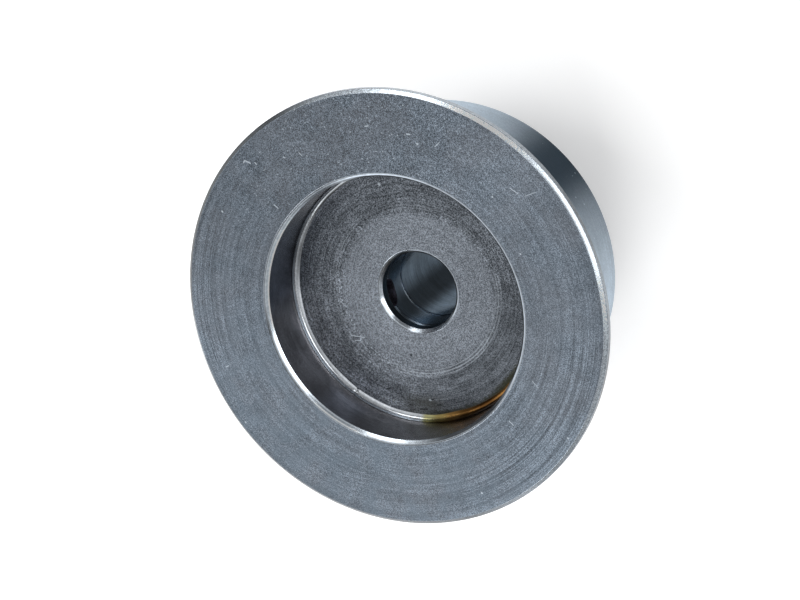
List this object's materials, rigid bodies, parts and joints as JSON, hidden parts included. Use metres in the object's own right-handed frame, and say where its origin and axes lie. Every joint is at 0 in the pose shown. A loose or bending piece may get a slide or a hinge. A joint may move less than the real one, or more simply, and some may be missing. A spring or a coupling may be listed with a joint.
{
  "type": "timing belt idler pulley",
  "caption": "Flanged steel idler with a smooth belt drum and a deep front recess, turning on a sealed ball bearing round a bolted hub.",
  "frame": {"origin": "centre of the bottom of the bounding box, which is the centre of the bolt hole on the rear seat", "axes": "+Z along the axis of rotation from the rear seat towards the flange face; X and Y lie in the rear seat"},
  "size_m": [0.06, 0.06, 0.03],
  "materials": {
    "shell_steel": "fine turned, oiled, blue-grey",
    "disc_steel": "fine turned, dull outside the bolt seat",
    "hub_steel": "reamed and turned",
    "bearing_steel": "ground",
    "cage_steel": "pressed sheet",
    "seal_rubber": "matt moulded"
  },
  "bodies": {
    "hub": {"front_disc": "disc_steel", "front_bush": "hub_steel", "rear_hub": "hub_steel", "bearing_inner_ring": "bearing_steel"},
    "shell": {"pulley_shell": "shell_steel", "bearing_outer_ring": "bearing_steel", "front_seal": "seal_rubber", "rear_seal": "seal_rubber"},
    "cage": {"cage_front_half": "cage_steel", "cage_rear_half": "cage_steel", "cage_rivet_1": "cage_steel", "cage_rivet_2": "cage_steel", "cage_rivet_3": "cage_steel", "cage_rivet_4": "cage_steel", "cage_rivet_5": "cage_steel", "cage_rivet_6": "cage_steel", "cage_rivet_7": "cage_steel", "cage_rivet_8": "cage_steel"},
    "ball_1": {"ball_1": "bearing_steel"},
    "ball_2": {"ball_2": "bearing_steel"},
    "ball_3": {"ball_3": "bearing_steel"},
    "ball_4": {"ball_4": "bearing_steel"},
    "ball_5": {"ball_5": "bearing_steel"},
    "ball_6": {"ball_6": "bearing_steel"},
    "ball_7": {"ball_7": "bearing_steel"},
    "ball_8": {"ball_8": "bearing_steel"}
  },
  "joints": [
    {"name": "shell_spin", "type": "hinge", "parent": "hub", "child": "shell", "pos_m": [0, 0, 0.0124], "axis": [0, 0, 1], "continuous": true},
    {"name": "cage_spin", "type": "hinge", "parent": "hub", "child": "cage", "pos_m": [0, 0, 0.0124], "axis": [0, 0, 1], "continuous": true},
    {"name": "ball_1_roll", "type": "hinge", "parent": "cage", "child": "ball_1", "pos_m": [0.0125, 0, 0.0124], "axis": [0, 0, 1], "continuous": true},
    {"name": "ball_2_roll", "type": "hinge", "parent": "cage", "child": "ball_2", "pos_m": [0.00884, 0.00884, 0.0124], "axis": [0, 0, 1], "continuous": true},
    {"name": "ball_3_roll", "type": "hinge", "parent": "cage", "child": "ball_3", "pos_m": [0, 0.0125, 0.0124], "axis": [0, 0, 1], "continuous": true},
    {"name": "ball_4_roll", "type": "hinge", "parent": "cage", "child": "ball_4", "pos_m": [-0.00884, 0.00884, 0.0124], "axis": [0, 0, 1], "continuous": true},
    {"name": "ball_5_roll", "type": "hinge", "parent": "cage", "child": "ball_5", "pos_m": [-0.0125, 0, 0.0124], "axis": [0, 0, 1], "continuous": true},
    {"name": "ball_6_roll", "type": "hinge", "parent": "cage", "child": "ball_6", "pos_m": [-0.00884, -0.00884, 0.0124], "axis": [0, 0, 1], "continuous": true},
    {"name": "ball_7_roll", "type": "hinge", "parent": "cage", "child": "ball_7", "pos_m": [0, -0.0125, 0.0124], "axis": [0, 0, 1], "continuous": true},
    {"name": "ball_8_roll", "type": "hinge", "parent": "cage", "child": "ball_8", "pos_m": [0.00884, -0.00884, 0.0124], "axis": [0, 0, 1], "continuous": true}
  ],
  "couplings": [
    {"joint": "cage_spin", "follows": "shell_spin", "ratio": 0.619},
    {"joint": "ball_1_roll", "follows": "shell_spin", "ratio": 1.9818},
    {"joint": "ball_2_roll", "follows": "shell_spin", "ratio": 1.9818},
    {"joint": "ball_3_roll", "follows": "shell_spin", "ratio": 1.9818},
    {"joint": "ball_4_roll", "follows": "shell_spin", "ratio": 1.9818},
    {"joint": "ball_5_roll", "follows": "shell_spin", "ratio": 1.9818},
    {"joint": "ball_6_roll", "follows": "shell_spin", "ratio": 1.9818},
    {"joint": "ball_7_roll", "follows": "shell_spin", "ratio": 1.9818},
    {"joint": "ball_8_roll", "follows": "shell_spin", "ratio": 1.9818}
  ]
}
